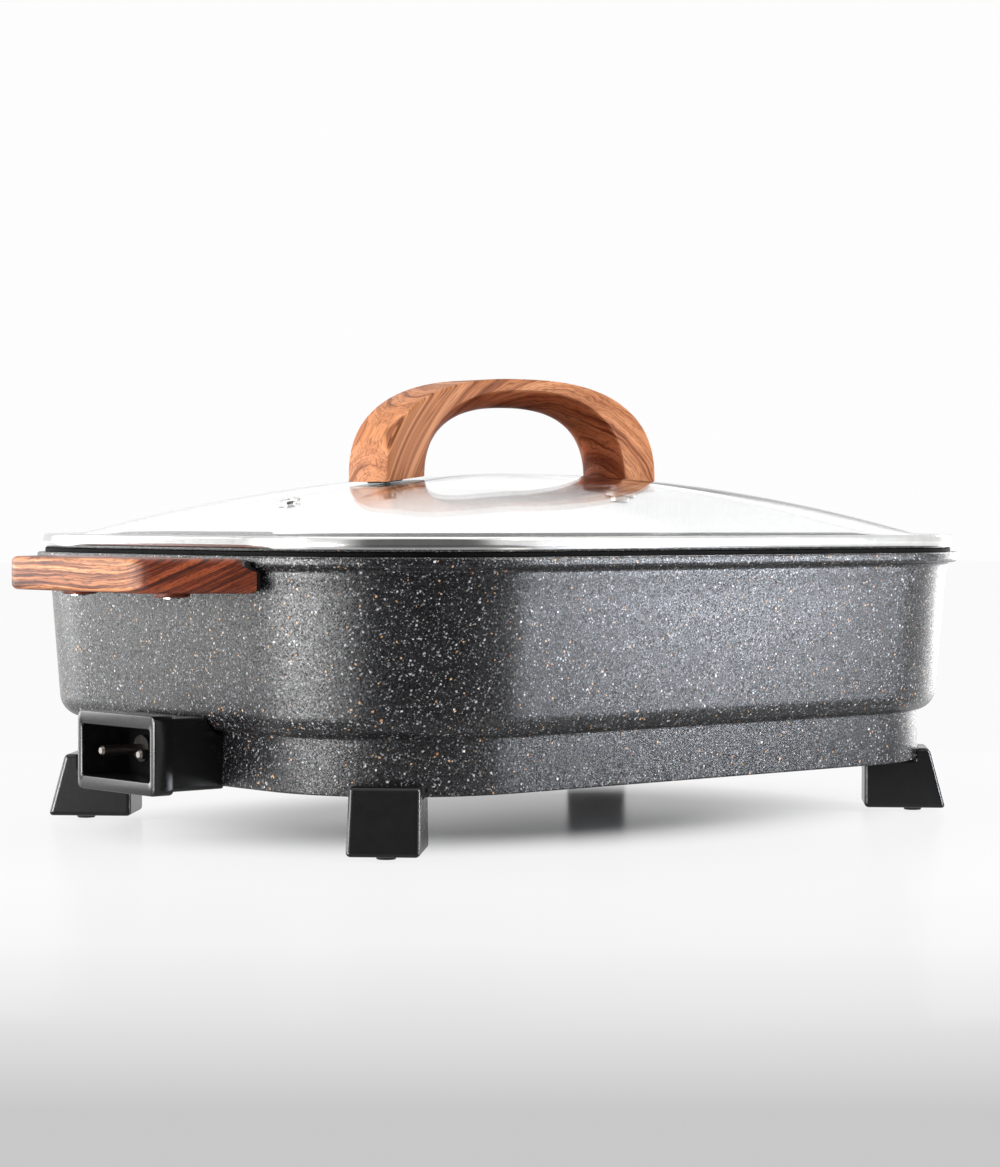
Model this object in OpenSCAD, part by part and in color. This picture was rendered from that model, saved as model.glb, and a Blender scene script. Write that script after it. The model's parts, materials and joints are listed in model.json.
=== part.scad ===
// Electric pan: a cast pan on four feet, with a plug-in control socket,
// two side handles and a lift-off glass lid.
// Millimetres. +Z is up, the feet stand on z = 0, and the pan is centred on x = 0, y = 0.
// The control socket faces -X.

/* [Pan] */
// Length over the lip
pan_l = 400; // [360:1:440]
// Width over the lip
pan_w = 300; // [270:1:340]
// Corner radius of the lip in plan
corner_r = 89; // [80:1:100]
// Height from the underside of the base to the top of the lip
body_h = 74; // [60:1:95]
// Thickness of the side wall
wall_t = 3.5; // [2.5:0.1:5]
// Thickness of the base
base_t = 6; // [4:0.5:9]
// Height of the lip's outer face
lip_h = 4.5; // [3:0.1:6]
// How far the lip stands out from the wall
lip_out = 5; // [3.5:0.1:6]
// How far the wall leans in, from the lip down to its bottom curve
wall_lean = 5; // [3:0.1:6]
// Outer radius of the bottom curve
bottom_r = 10; // [9:0.5:14]
// Inner radius between wall and cooking surface
floor_r = 14; // [8:0.5:18]

/* [Skirt] */
// Height of the skirt below the base
skirt_h = 23; // [18:0.5:30]
// How far the skirt is set in from the lip
skirt_inset = 19; // [17:0.5:21]
// Thickness of the skirt
skirt_t = 3.5; // [2.5:0.1:5]

/* [Feet] */
// Height of a foot from its rubber stud to the skirt
foot_h = 23; // [18:0.5:30]
// Width of a foot at the top
foot_w = 29.2; // [24:0.2:34]
// How much wider a foot is at the bottom
foot_flare = 1; // [0:0.1:3]
// Length of a foot, inwards from the skirt's face
foot_l = 26.7; // [24:0.1:32]
// Thickness of the foot's lip at its top
foot_lip_t = 3.6; // [2.5:0.1:5]
// How far the lip overlaps the skirt
foot_lip_h = 5; // [3:0.1:8]
// How far the outer face leans out at the bottom
foot_lean = 8.2; // [4:0.1:11]
// Radius of a foot's upright edges
foot_edge_r = 2.5; // [1:0.1:4]
// Height of the rubber stud below the foot
stud_h = 2; // [1:0.1:4]
// Radius of the rubber stud
stud_r = 5; // [4:0.1:6]

/* [Side handles] */
// How far a handle reaches beyond the lip
handle_reach = 39.5; // [32:0.5:48]
// Length of a handle along its outer edge
handle_l = 96; // [84:1:110]
// Length of a handle where it meets the pan
handle_base_l = 155; // [140:1:165]
// Thickness of a handle
handle_t = 14; // [12:0.1:17]
// Height of the lip's top above the handle's top
handle_drop = 1; // [0.5:0.1:3]
// Radius of the handle's outer corners in plan
handle_corner_r = 14; // [8:0.5:18]
// Radius of the handle's outer edges
handle_edge_r = 2.5; // [1:0.1:4]
// Gap between a handle and the pan, filled by a heat guard
handle_gap = 3.5; // [2.5:0.1:4.5]
// Distance between a handle's two screws
handle_screw_pitch = 69; // [60:1:76]
// Distance of the screws from the lip's edge
handle_screw_out = 12; // [11:0.5:16]

/* [Control socket] */
// Width of the socket's mouth
socket_w = 57.6; // [54:0.2:62]
// Height of the socket's mouth
socket_h = 33.2; // [31:0.2:35]
// How far the mouth stands out from the skirt
socket_reach = 36; // [33:0.5:42]
// Length of the collar round the mouth
collar_l = 10; // [6:0.5:14]
// How far the collar stands out from the box behind it
collar_step = 1.3; // [0.8:0.1:1.8]
// Thickness of the socket's side walls
socket_side_t = 3.6; // [2.4:0.1:4.4]
// Thickness of the socket's top and bottom walls
socket_top_t = 5.8; // [4.6:0.1:6.4]
// Depth of the mouth
socket_depth = 24; // [20:0.5:25]
// Distance between the two contact pins
pin_pitch = 28; // [26:0.2:30]
// Radius of a contact pin
pin_r = 2; // [1.5:0.05:2.4]
// Length of pin that stands in the mouth
pin_l = 22; // [16:0.5:23]
// Radius of the bore for the temperature probe
probe_r = 3.2; // [2.5:0.05:3.6]
// Length of the bore for the temperature probe
probe_l = 74; // [60:1:90]

/* [Lid] */
// How far the lid's rim is set in from the lip
rim_inset = 2.5; // [1.5:0.1:4]
// Height of the lid's rim above the lip
rim_h = 8; // [6.5:0.1:10]
// Width of the rim's top fold over the glass
rim_fold = 6; // [5:0.1:9]
// Height of the glass dome above the rim
dome_h = 29; // [20:0.5:34]
// Thickness of the glass
glass_t = 4; // [3:0.1:5]
// Distance of the steam vent from the lid's middle
vent_x = 126; // [105:1:145]
// Radius of the steam vent's flange
vent_r = 5; // [4:0.1:6]

/* [Lid handle] */
// Length of the lid handle
arch_l = 165; // [140:1:180]
// Height of the lid handle above the glass
arch_h = 46.5; // [38:0.5:56]
// Width of the lid handle
arch_w = 28.8; // [24:0.2:34]
// Length of each leg where it meets the glass
leg_l = 20.6; // [19:0.2:23]
// Thickness of the handle's edge at the top
arch_t = 5; // [4:0.1:7]
// How far the grip swells down in the middle
arch_swell = 8; // [5:0.1:9]
// Gap between leg and glass, filled by a soft washer
leg_gap = 1.2; // [0.8:0.1:2]

/* [Hidden] */
$fn = 48;

// Colours
stone = "#43434a";
black = "#161616";
rubber = "#222222";
wood = "#a2592f";
steel = "#c9c8c4";
ceramic = "#2c2723";
glass = "#dfe8e6";

// Fits
clear = 0.3;
screw_clear = 0.05;
overlap = 1;
recess_w = 0.9;
recess_d = 1;
recess_reach = 0.62;

// Heights
skirt_z = stud_h + foot_h;
base_z = skirt_z + skirt_h;
floor_z = base_z + base_t;
lip_z = base_z + body_h;

// Plan: every corner of the pan turns about these four points
centre_x = pan_l / 2 - corner_r;
centre_y = pan_w / 2 - corner_r;
skirt_r = corner_r - skirt_inset;
arc_steps = 6;

// Pan section, as [distance in from the lip's edge, height]
lip_edge_r = 0.8;
lip_under_r = min(2.2, lip_h / 2);
lip_root = 1.5;
wall_top_z = lip_z - lip_h - lip_root;
wall_bottom_in = lip_out + wall_lean;
function arc(centre, r, from, to, steps = arc_steps) =
    [for (i = [0 : steps]) let (a = from + (to - from) * i / steps) centre + r * [cos(a), sin(a)]];
pan_outside = concat(
    arc([wall_bottom_in + bottom_r, base_z + bottom_r], bottom_r, 270, 180),
    [[lip_out, wall_top_z]],
    [[lip_under_r, lip_z - lip_h]],
    arc([lip_under_r, lip_z - lip_h + lip_under_r], lip_under_r, 240, 180, 4),
    arc([lip_edge_r, lip_z - lip_edge_r], lip_edge_r, 180, 90, 3));
pan_inside = concat(
    arc([wall_bottom_in + wall_t + floor_r, floor_z + floor_r], floor_r, 270, 180),
    [[lip_out + wall_t, lip_z + overlap]]);
skirt_section = [[skirt_inset, skirt_z], [skirt_inset, base_z],
                 [skirt_inset + skirt_t, base_z], [skirt_inset + skirt_t, skirt_z]];
function wall_face_x(z) = pan_l / 2 - wall_bottom_in
    + wall_lean * (z - base_z - bottom_r) / (wall_top_z - base_z - bottom_r);

// Feet, measured outwards from a corner's turning point
foot_in_r = skirt_r - foot_l;
foot_top_r = skirt_r + foot_lip_t;
foot_out_r = foot_top_r + foot_lean;
stud_at = foot_in_r + 0.66 * (foot_out_r - foot_in_r);
foot_screw_at = foot_in_r + 10.5;
foot_boss_r = 6;
foot_screw_r = 2;
foot_screw_l = 24;
foot_head_r = 4;
foot_head_h = 2.5;
foot_head_z = stud_h + foot_h / 2;
stud_stem_r = 2.5;
stud_stem_l = 6;

// Side handles
handle_top_z = lip_z - handle_drop;
handle_z = handle_top_z - handle_t;
handle_x = pan_l / 2 + handle_reach;
handle_screw_x = pan_l / 2 + handle_screw_out;
lug_t = 5.5;
lug_w = 18;
lug_z = min(handle_z + (handle_t - lug_t) / 2 - 1, wall_top_z - lug_t - clear);
lug_end_x = handle_screw_x + 9;
guard_gap = 0.5;
guard_l = handle_base_l - 9;
guard_set_in = 1;
step_z = lip_z - lip_h + 0.5;
step_low_z = step_z - lip_out / 2;
handle_boss_r = 7.5;
handle_boss_h = 2;
handle_screw_r = 2;
handle_head_r = 3.6;
handle_head_h = 2.2;
handle_head_sunk = 1.4;

// Control socket
socket_x = pan_l / 2 - skirt_inset;
mouth_x = socket_x + socket_reach;
socket_z = stud_h + foot_h - 2.5;
socket_mid_z = socket_z + socket_h / 2;
block_x = mouth_x - socket_depth;
shank_r = pin_r - 0.4;
bush_r = 5.7;
bush_neck_r = 4.2;
bush_out = 1.5;
probe_wall = 1.3;
probe_out = 1.5;
probe_end_t = 3;
window_w = pin_pitch + 14;
window_h = 9.6;
socket_screw_r = 1.5;
socket_head_r = 2.1;
socket_head_h = 1.6;
socket_screw_rise = 6.9;
spigot_l = 3;

// Heating element under the base
element_r = 4;
element_inset_x = 50;
element_inset_y = 65;
element_x = pan_l / 2 - element_inset_x;
element_y = pan_w / 2 - element_inset_y;
element_bend_r = 30;
terminal_bend_r = 14;
rib_w = 13;
rib_clear = 0.15;
element_end_x = socket_x - 3;

// Lid
lid_gap = 0.2;
rim_z = lip_z + lid_gap;
rim_top_z = lip_z + rim_h;
rim_t = 0.8;
rim_foot_r = 4.4;
rim_tongue = 5;
tongue_in = lip_out + wall_t + 1 - rim_inset;
glass_clear = 0.15;
glass_in = rim_inset + rim_t + 0.25;
glass_edge_z = rim_top_z - rim_t - glass_t - glass_clear;
glass_l = pan_l - 2 * glass_in;
glass_w = pan_w - 2 * glass_in;
glass_r = corner_r - glass_in;
dome_rings = 9;
dome_corner_steps = 8;
rim_flat = 0.94;
function dome_fall(ratio) = ratio >= rim_flat ? 1 : pow(ratio / rim_flat, 2);
function dome_ratio(x, y) = sqrt(pow(x / (glass_l / 2), 2) + pow(y / (glass_w / 2), 2));
function dome_z(x, y) = glass_edge_z + glass_t + dome_h * (1 - pow(dome_ratio(x, y) / rim_flat, 2));
function dome_slope(x) = atan(2 * dome_h * x / pow(rim_flat * glass_l / 2, 2));

// Lid handle
leg_x = (arch_l - leg_l) / 2;
arch_power = 2.5;
hollow_power = 2.35;
arch_base_z = dome_z(leg_x, 0) + leg_gap;
arch_steps = 28;
swell_steps = 8;
arch_edge = 1.5;
lid_screw_r = 2;
lid_screw_l = 20;
lid_head_r = 4.5;
lid_head_h = 2.6;
soft_washer_r = 8;
leg_sag = dome_h * (pow(arch_w / glass_w, 2) + pow(leg_l / glass_l, 2)) / pow(rim_flat, 2);
washer_gap = leg_sag + 2 * screw_clear;
clamp_washer_t = 1.2;
clamp_washer_r = 7.5;
glass_hole_r = 3.2;
vent_hole_r = 3.8;
vent_tube_r = 3.5;
vent_bore_r = 2.4;
vent_flange_t = 0.8;

// Closed ring round the pan's plan: a section of [distance in, height] turned about the corners
module ring(section) {
    for (sx = [-1, 1], sy = [-1, 1])
        translate([sx * centre_x, sy * centre_y, 0])
            rotate([0, 0, sx > 0 ? (sy > 0 ? 0 : 270) : (sy > 0 ? 90 : 180)])
                rotate_extrude(angle = 90)
                    polygon([for (p = section) [corner_r - p[0], p[1]]]);
    for (s = [-1, 1]) {
        translate([-centre_x, 0, 0])
            rotate([90, 0, 90])
                linear_extrude(2 * centre_x)
                    polygon([for (p = section) [s * (pan_w / 2 - p[0]), p[1]]]);
        translate([0, centre_y, 0])
            rotate([90, 0, 0])
                linear_extrude(2 * centre_y)
                    polygon([for (p = section) [s * (pan_l / 2 - p[0]), p[1]]]);
    }
}

// Solid whose outline steps in from the pan's plan as the section says, from bottom to top
module block(section) {
    last = len(section) - 1;
    for (sx = [-1, 1], sy = [-1, 1])
        translate([sx * centre_x, sy * centre_y, 0])
            rotate([0, 0, sx > 0 ? (sy > 0 ? 0 : 270) : (sy > 0 ? 90 : 180)])
                rotate_extrude(angle = 90)
                    polygon(concat([[0, section[0][1]]],
                                   [for (p = section) [corner_r - p[0], p[1]]],
                                   [[0, section[last][1]]]));
    translate([-centre_x, 0, 0])
        rotate([90, 0, 90])
            linear_extrude(2 * centre_x)
                polygon(both_sides(section, pan_w / 2));
    translate([0, centre_y, 0])
        rotate([90, 0, 0])
            linear_extrude(2 * centre_y)
                polygon(both_sides(section, pan_l / 2));
}

function both_sides(section, half) = concat(
    [for (p = section) [half - p[0], p[1]]],
    [for (i = [len(section) - 1 : -1 : 0]) [section[i][0] - half, section[i][1]]]);

// Children placed at the four corners, with +X pointing out along each corner's diagonal
module at_corner(sx, sy) {
    translate([sx * centre_x, sy * centre_y, 0])
        rotate([0, 0, atan2(sy, sx)])
            children();
}

module at_corners() {
    for (sx = [-1, 1], sy = [-1, 1])
        at_corner(sx, sy)
            children();
}

// The element's loop, with a 2D child swept along it: a loop open at the control socket
module along_element() {
    bend = element_bend_r;
    for (sy = [-1, 1]) mirror([0, sy < 0 ? 1 : 0, 0]) {
        run([-element_end_x, pin_pitch / 2], 0, element_end_x - element_x - terminal_bend_r) children();
        turn([-element_x - terminal_bend_r, pin_pitch / 2 + terminal_bend_r], terminal_bend_r, 270) children();
        run([-element_x, pin_pitch / 2 + terminal_bend_r], 90,
            element_y - bend - pin_pitch / 2 - terminal_bend_r) children();
        turn([-element_x + bend, element_y - bend], bend, 90) children();
        run([-element_x + bend, element_y], 0, 2 * element_x - 2 * bend) children();
        turn([element_x - bend, element_y - bend], bend, 0) children();
        run([element_x, element_y - bend], 270, element_y - bend) children();
    }
}

module run(from, heading, length) {
    translate([from[0], from[1], socket_mid_z])
        rotate([90, 0, heading + 90])
            linear_extrude(length)
                children();
}

module turn(centre, r, from) {
    translate([centre[0], centre[1], socket_mid_z])
        rotate([0, 0, from])
            rotate_extrude(angle = 90)
                translate([r, 0])
                    children();
}

// Cast pan: wall, lip and base
module pan_body() {
    color(stone)
    difference() {
        block(pan_outside);
        block(pan_inside);
    }
}

// Skirt under the base, with a window for the terminals
module base_skirt() {
    color(stone)
    difference() {
        ring(skirt_section);
        socket_window();
        socket_screw_holes();
    }
}

// Rib that carries the heating element, and the seat of the probe's sleeve
module element_rib() {
    color(stone) {
        difference() {
            intersection() {
                along_element()
                    translate([-rib_w / 2, 0])
                        square([rib_w, base_z - socket_mid_z]);
                translate([-element_x - rib_w, -pan_w / 2, 0])
                    cube([pan_l, pan_w, lip_z]);
            }
            along_element()
                circle(r = element_r + rib_clear);
        }
        probe_seat();
    }
}

module probe_seat() {
    seat_l = 30;
    seat_w = 2 * (probe_r + probe_wall) + 6;
    difference() {
        translate([-mouth_x + socket_depth - probe_out + probe_l - seat_l, -seat_w / 2, socket_mid_z])
            cube([seat_l, seat_w, base_z - socket_mid_z]);
        translate([-mouth_x, 0, socket_mid_z])
            rotate([0, 90, 0])
                cylinder(r = probe_r + probe_wall + screw_clear, h = mouth_x);
    }
}

// Bosses under the base that take the feet's screws
module foot_bosses() {
    color(stone)
    at_corners()
        translate([foot_screw_at, 0, skirt_z])
            difference() {
                cylinder(r = foot_boss_r, h = skirt_h);
                translate([0, 0, -overlap])
                    cylinder(r = foot_screw_r + screw_clear, h = foot_screw_l - foot_h / 2 + overlap + clear);
            }
}

// Lugs on the end wall that carry a side handle
module handle_lugs(s) {
    color(stone)
    mirror([s < 0 ? 1 : 0, 0, 0])
    for (t = [-1, 1])
        translate([0, t * handle_screw_pitch / 2, 0])
            difference() {
                rotate([90, 0, 0])
                    linear_extrude(lug_w, center = true)
                        polygon([[wall_face_x(lug_z), lug_z], [lug_end_x, lug_z],
                                 [lug_end_x, lug_z + lug_t], [wall_face_x(lug_z + lug_t), lug_z + lug_t]]);
                translate([handle_screw_x, 0, lug_z - overlap])
                    cylinder(r = handle_screw_r + screw_clear, h = lug_t + 2 * overlap);
            }
}

module socket_window() {
    translate([-socket_x - overlap, -window_w / 2, socket_mid_z - window_h / 2])
        cube([skirt_t + 2 * overlap, window_w, window_h]);
}

module socket_screw_holes() {
    for (s = [-1, 1])
        translate([-socket_x - overlap, 0, socket_mid_z + s * socket_screw_rise])
            rotate([0, 90, 0])
                cylinder(r = socket_screw_r + screw_clear, h = skirt_t + 2 * overlap);
}

// Sheathed heating element, lying half in its rib
module heating_element() {
    color(steel)
        along_element()
            circle(r = element_r);
}

// Contact pin: a thin shank through its bush, and a thicker end that stands in the mouth
module terminal_pin(s) {
    tip = 1;
    shank_l = block_x + bush_out - element_end_x;
    contact_l = pin_l - bush_out - tip;
    color(steel)
        translate([-element_end_x, s * pin_pitch / 2, socket_mid_z])
            rotate([0, -90, 0]) {
                cylinder(r = shank_r, h = shank_l);
                translate([0, 0, shank_l])
                    cylinder(r = pin_r, h = contact_l);
                translate([0, 0, shank_l + contact_l])
                    cylinder(r1 = pin_r, r2 = pin_r - tip * 0.7, h = tip);
            }
}

// Ceramic bushes that carry the pins through the terminal block
module terminal_bushes() {
    color(ceramic)
    for (s = [-1, 1])
        translate([-socket_x, s * pin_pitch / 2, socket_mid_z])
            rotate([0, -90, 0])
                difference() {
                    union() {
                        cylinder(r = bush_neck_r, h = block_x - socket_x);
                        translate([0, 0, block_x - socket_x])
                            cylinder(r = bush_r, h = bush_out);
                    }
                    translate([0, 0, -overlap])
                        cylinder(r = shank_r + screw_clear, h = block_x - socket_x + bush_out + 2 * overlap);
                }
}

// Block at the back of the mouth, with a spigot that the shroud is pressed over
module terminal_block() {
    block_w = socket_w - 2 * collar_step;
    bottom_z = socket_z + collar_step;
    top_z = socket_z + socket_h - collar_step;
    shoulder = spigot_l - block_x;
    color(black)
    difference() {
        union() {
            translate([shoulder, -block_w / 2, bottom_z])
                cube([-socket_x - shoulder, block_w, top_z - bottom_z]);
            translate([-block_x, screw_clear + socket_side_t - socket_w / 2,
                       socket_z + socket_top_t + screw_clear])
                cube([spigot_l + overlap, socket_w - 2 * socket_side_t - 2 * screw_clear,
                      socket_h - 2 * socket_top_t - 2 * screw_clear]);
        }
        translate([wall_bottom_in + bottom_r - pan_l / 2, 0, base_z + bottom_r])
            rotate([90, 0, 0])
                cylinder(r = bottom_r + clear, h = socket_w, center = true, $fn = 96);
        for (s = [-1, 1])
            translate([-socket_x + overlap, s * pin_pitch / 2, socket_mid_z])
                rotate([0, -90, 0])
                    cylinder(r = bush_neck_r + screw_clear, h = block_x - socket_x + 2 * overlap);
        translate([-socket_x + overlap, 0, socket_mid_z])
            rotate([0, -90, 0])
                cylinder(r = probe_r + probe_wall + screw_clear, h = block_x - socket_x + 2 * overlap);
        for (s = [-1, 1])
            translate([-socket_x + overlap, 0, socket_mid_z + s * socket_screw_rise])
                rotate([0, -90, 0])
                    cylinder(r = socket_screw_r + screw_clear, h = block_x - socket_x + 2 * overlap);
    }
}

// Steel sleeve that takes the control's temperature probe
module probe_sleeve() {
    color(steel)
    translate([-block_x - probe_out, 0, socket_mid_z])
        rotate([0, 90, 0])
            difference() {
                cylinder(r = probe_r + probe_wall, h = probe_l + probe_end_t);
                translate([0, 0, -overlap])
                    cylinder(r = probe_r, h = probe_l + overlap);
            }
}

// Four-walled shroud round the contact pins
module socket_shroud() {
    color(black)
    difference() {
        union() {
            shroud_tube(mouth_x - collar_l, mouth_x, 0);
            shroud_tube(block_x - spigot_l, mouth_x - collar_l + overlap, collar_step);
        }
        translate([-mouth_x - overlap, -socket_w / 2 + socket_side_t, socket_z + socket_top_t])
            cube([socket_depth + spigot_l + 2 * overlap, socket_w - 2 * socket_side_t,
                  socket_h - 2 * socket_top_t]);
    }
}

// A length of the shroud's outside, drawn in on every side, with round long edges
module shroud_tube(from_x, to_x, drawn_in) {
    edge_r = 2;
    w = socket_w - 2 * drawn_in;
    h = socket_h - 2 * drawn_in;
    translate([-from_x, 0, socket_mid_z])
        rotate([90, 0, -90])
            linear_extrude(to_x - from_x)
                polygon(concat(
                    arc([w / 2 - edge_r, h / 2 - edge_r], edge_r, 0, 90, 4),
                    arc([edge_r - w / 2, h / 2 - edge_r], edge_r, 90, 180, 4),
                    arc([edge_r - w / 2, edge_r - h / 2], edge_r, 180, 270, 4),
                    arc([w / 2 - edge_r, edge_r - h / 2], edge_r, 270, 360, 4)));
}

module socket_screws() {
    shank_l = skirt_t + block_x - socket_x;
    color(steel)
    for (s = [-1, 1])
        translate([-socket_x + skirt_t, 0, socket_mid_z + s * socket_screw_rise])
            rotate([0, -90, 0])
                difference() {
                    union() {
                        cylinder(r = socket_screw_r, h = shank_l);
                        translate([0, 0, shank_l])
                            cylinder(r = socket_head_r, h = socket_head_h);
                    }
                    translate([0, 0, shank_l + socket_head_h - recess_d])
                        cross_recess(socket_head_r);
                }
}

// Cross cut into the face of a screw's head
module cross_recess(head_r) {
    for (turned = [0, 90])
        rotate([0, 0, turned])
            translate([-recess_reach * head_r, -recess_w / 2, 0])
                cube([2 * recess_reach * head_r, recess_w, recess_d + overlap]);
}

// Moulded foot: a wedge under the skirt, with a lip up its outside
module foot(sx, sy) {
    lip_top_z = skirt_z + foot_lip_h;
    half_top = foot_w / 2;
    half_bottom = half_top + foot_flare / 2;
    color(black)
    at_corner(sx, sy)
    difference() {
        intersection() {
            rotate([90, 0, 0])
                linear_extrude(foot_w + 2 * foot_flare, center = true)
                    polygon([[foot_in_r, stud_h], [foot_out_r, stud_h], [foot_top_r, lip_top_z],
                             [skirt_r - foot_lip_t, lip_top_z], [skirt_r - foot_lip_t, skirt_z],
                             [foot_in_r, skirt_z]]);
            rotate([90, 0, 90])
                linear_extrude(foot_out_r + overlap)
                    polygon([[-half_bottom, stud_h], [half_bottom, stud_h],
                             [half_top, lip_top_z], [-half_top, lip_top_z]]);
            translate([0, 0, stud_h])
                linear_extrude(lip_top_z)
                    foot_plan(half_bottom);
        }
        translate([0, 0, skirt_z])
            cylinder(r = skirt_r + screw_clear, h = foot_lip_h + overlap, $fn = 96);
        translate([foot_screw_at, 0, stud_h - overlap])
            cylinder(r = foot_screw_r + screw_clear, h = foot_h + 2 * overlap);
        translate([foot_screw_at, 0, stud_h - overlap])
            cylinder(r = foot_head_r + clear, h = foot_head_z - stud_h + overlap);
        translate([stud_at, 0, stud_h - overlap])
            cylinder(r = stud_stem_r + screw_clear, h = stud_stem_l + overlap + clear);
    }
}

module foot_plan(half) {
    r = foot_edge_r;
    polygon(concat(
        arc([foot_out_r - r, half - r], r, 0, 90, 4),
        arc([foot_in_r + r, half - r], r, 90, 180, 4),
        arc([foot_in_r + r, r - half], r, 180, 270, 4),
        arc([foot_out_r - r, r - half], r, 270, 360, 4)));
}

// Rubber stud pushed into the foot's underside
module foot_stud(sx, sy) {
    color(rubber)
    at_corner(sx, sy)
        translate([stud_at, 0, 0]) {
            cylinder(r1 = stud_r - stud_h * 0.6, r2 = stud_r, h = stud_h);
            translate([0, 0, stud_h])
                cylinder(r = stud_stem_r, h = stud_stem_l);
        }
}

module foot_screws() {
    color(steel)
    at_corners()
        translate([foot_screw_at, 0, foot_head_z])
            difference() {
                union() {
                    translate([0, 0, -foot_head_h])
                        cylinder(r = foot_head_r, h = foot_head_h);
                    cylinder(r = foot_screw_r, h = foot_screw_l);
                }
                translate([0, 0, -foot_head_h - overlap])
                    cross_recess(foot_head_r);
            }
}

// Wing handle: its plan cut by its side profile, hollowed for the pan's lugs
module side_handle(s) {
    color(wood)
    mirror([s < 0 ? 1 : 0, 0, 0])
    difference() {
        union() {
            intersection() {
                translate([0, 0, handle_z - overlap])
                    linear_extrude(handle_t + 2 * overlap)
                        handle_plan();
                rotate([90, 0, 0])
                    linear_extrude(handle_base_l + 2 * overlap, center = true)
                        handle_profile();
            }
            for (t = [-1, 1])
                translate([handle_screw_x, t * handle_screw_pitch / 2, handle_z - handle_boss_h])
                    cylinder(r = handle_boss_r, h = handle_boss_h + overlap);
        }
        for (t = [-1, 1]) {
            translate([0, t * handle_screw_pitch / 2 - lug_w / 2 - clear, lug_z])
                cube([lug_end_x + clear, lug_w + 2 * clear, lug_t + clear]);
            translate([handle_screw_x, t * handle_screw_pitch / 2, handle_z - handle_boss_h - overlap]) {
                cylinder(r = handle_screw_r + screw_clear, h = lug_z - handle_z + handle_boss_h + 2 * overlap);
                cylinder(r = handle_head_r + clear, h = handle_head_sunk + overlap);
            }
        }
    }
}

// Half the wing's outline runs from the pan to the rounded outer corner
module handle_plan() {
    in_x = pan_l / 2 - lip_out - 1;
    half_out = handle_l / 2;
    half_in = handle_base_l / 2;
    end_angle = atan2(half_in - half_out, handle_x - in_x);
    corner = [handle_x - handle_corner_r,
              half_out - handle_corner_r * tan((90 - end_angle) / 2)];
    polygon(concat(
        [[in_x, -half_in]],
        arc([corner[0], -corner[1]], handle_corner_r, end_angle - 90, 0),
        arc(corner, handle_corner_r, 0, 90 - end_angle),
        [[in_x, half_in]]));
}

// Side view of the wing: round outer edges, and an inner face stepped round the lip
module handle_profile() {
    r = handle_edge_r;
    wall_x = pan_l / 2 - lip_out + handle_gap;
    lip_x = pan_l / 2 + handle_gap;
    polygon(concat(
        [[wall_x, handle_z]],
        arc([handle_x - r, handle_z + r], r, 270, 360, 4),
        arc([handle_x - r, handle_top_z - r], r, 0, 90, 4),
        [[lip_x, handle_top_z], [lip_x, step_z], [wall_x, step_low_z]]));
}

// Heat guard between a handle and the pan, stepped round the lip, with windows for the lugs
module handle_guard(s) {
    wall_x = pan_l / 2 - lip_out + handle_gap;
    lip_x = pan_l / 2 + handle_gap;
    t = handle_gap - guard_gap;
    low_z = handle_z + guard_set_in;
    high_z = handle_top_z - guard_set_in;
    color(rubber)
    mirror([s < 0 ? 1 : 0, 0, 0])
    difference() {
        rotate([90, 0, 0])
            linear_extrude(guard_l, center = true)
                polygon([[wall_x, low_z], [wall_x, step_low_z], [lip_x, step_z], [lip_x, high_z],
                         [lip_x - t, high_z], [lip_x - t, step_z], [wall_x - t, step_low_z],
                         [wall_x - t, low_z]]);
        for (side = [-1, 1])
            translate([0, side * handle_screw_pitch / 2 - lug_w / 2 - clear, lug_z - clear])
                cube([lug_end_x, lug_w + 2 * clear, lug_t + 2 * clear]);
    }
}

module handle_screws(s) {
    head_z = handle_z - handle_boss_h + handle_head_sunk;
    color(steel)
    for (t = [-1, 1])
        translate([s * handle_screw_x, t * handle_screw_pitch / 2, head_z])
            difference() {
                union() {
                    translate([0, 0, -handle_head_h])
                        cylinder(r = handle_head_r, h = handle_head_h);
                    cylinder(r = handle_screw_r, h = lug_z + lug_t - head_z);
                }
                translate([0, 0, -handle_head_h - overlap])
                    cross_recess(handle_head_r);
            }
}

// Plan of the glass, as a loop of points turned about the corners
function glass_plan() = [for (q = [0 : 3], i = [0 : dome_corner_steps])
    let (a = 90 * (q + i / dome_corner_steps),
         sx = (q == 0 || q == 3) ? 1 : -1,
         sy = q < 2 ? 1 : -1)
    [sx * (glass_l / 2 - glass_r) + glass_r * cos(a), sy * (glass_w / 2 - glass_r) + glass_r * sin(a)]];

// Domed glass of even thickness: rings of the plan drawn in and raised, over and under
module dome() {
    plan = glass_plan();
    n = len(plan);
    ratios = concat([1], [for (i = [0 : dome_rings]) rim_flat * (1 - i / (dome_rings + 1))]);
    function sheet(drop) = concat(
        [for (k = ratios, p = plan) [p[0] * k, p[1] * k, glass_edge_z + glass_t - drop + dome_h * (1 - dome_fall(k))]],
        [[0, 0, glass_edge_z + glass_t - drop + dome_h]]);
    top = sheet(0);
    m = len(top);
    rows = len(ratios);
    upper = concat(
        [for (i = [0 : rows - 2], j = [0 : n - 1], half = [0, 1]) let (k = (j + 1) % n)
            half == 0 ? [i * n + j, (i + 1) * n + k, i * n + k] : [i * n + j, (i + 1) * n + j, (i + 1) * n + k]],
        [for (j = [0 : n - 1]) [(rows - 1) * n + j, m - 1, (rows - 1) * n + (j + 1) % n]]);
    lower = [for (f = upper) [f[0] + m, f[2] + m, f[1] + m]];
    edge = [for (j = [0 : n - 1], half = [0, 1]) let (k = (j + 1) % n)
        half == 0 ? [j, k, k + m] : [j, k + m, j + m]];
    polyhedron(concat(top, sheet(glass_t)), concat(upper, lower, edge));
}

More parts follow.
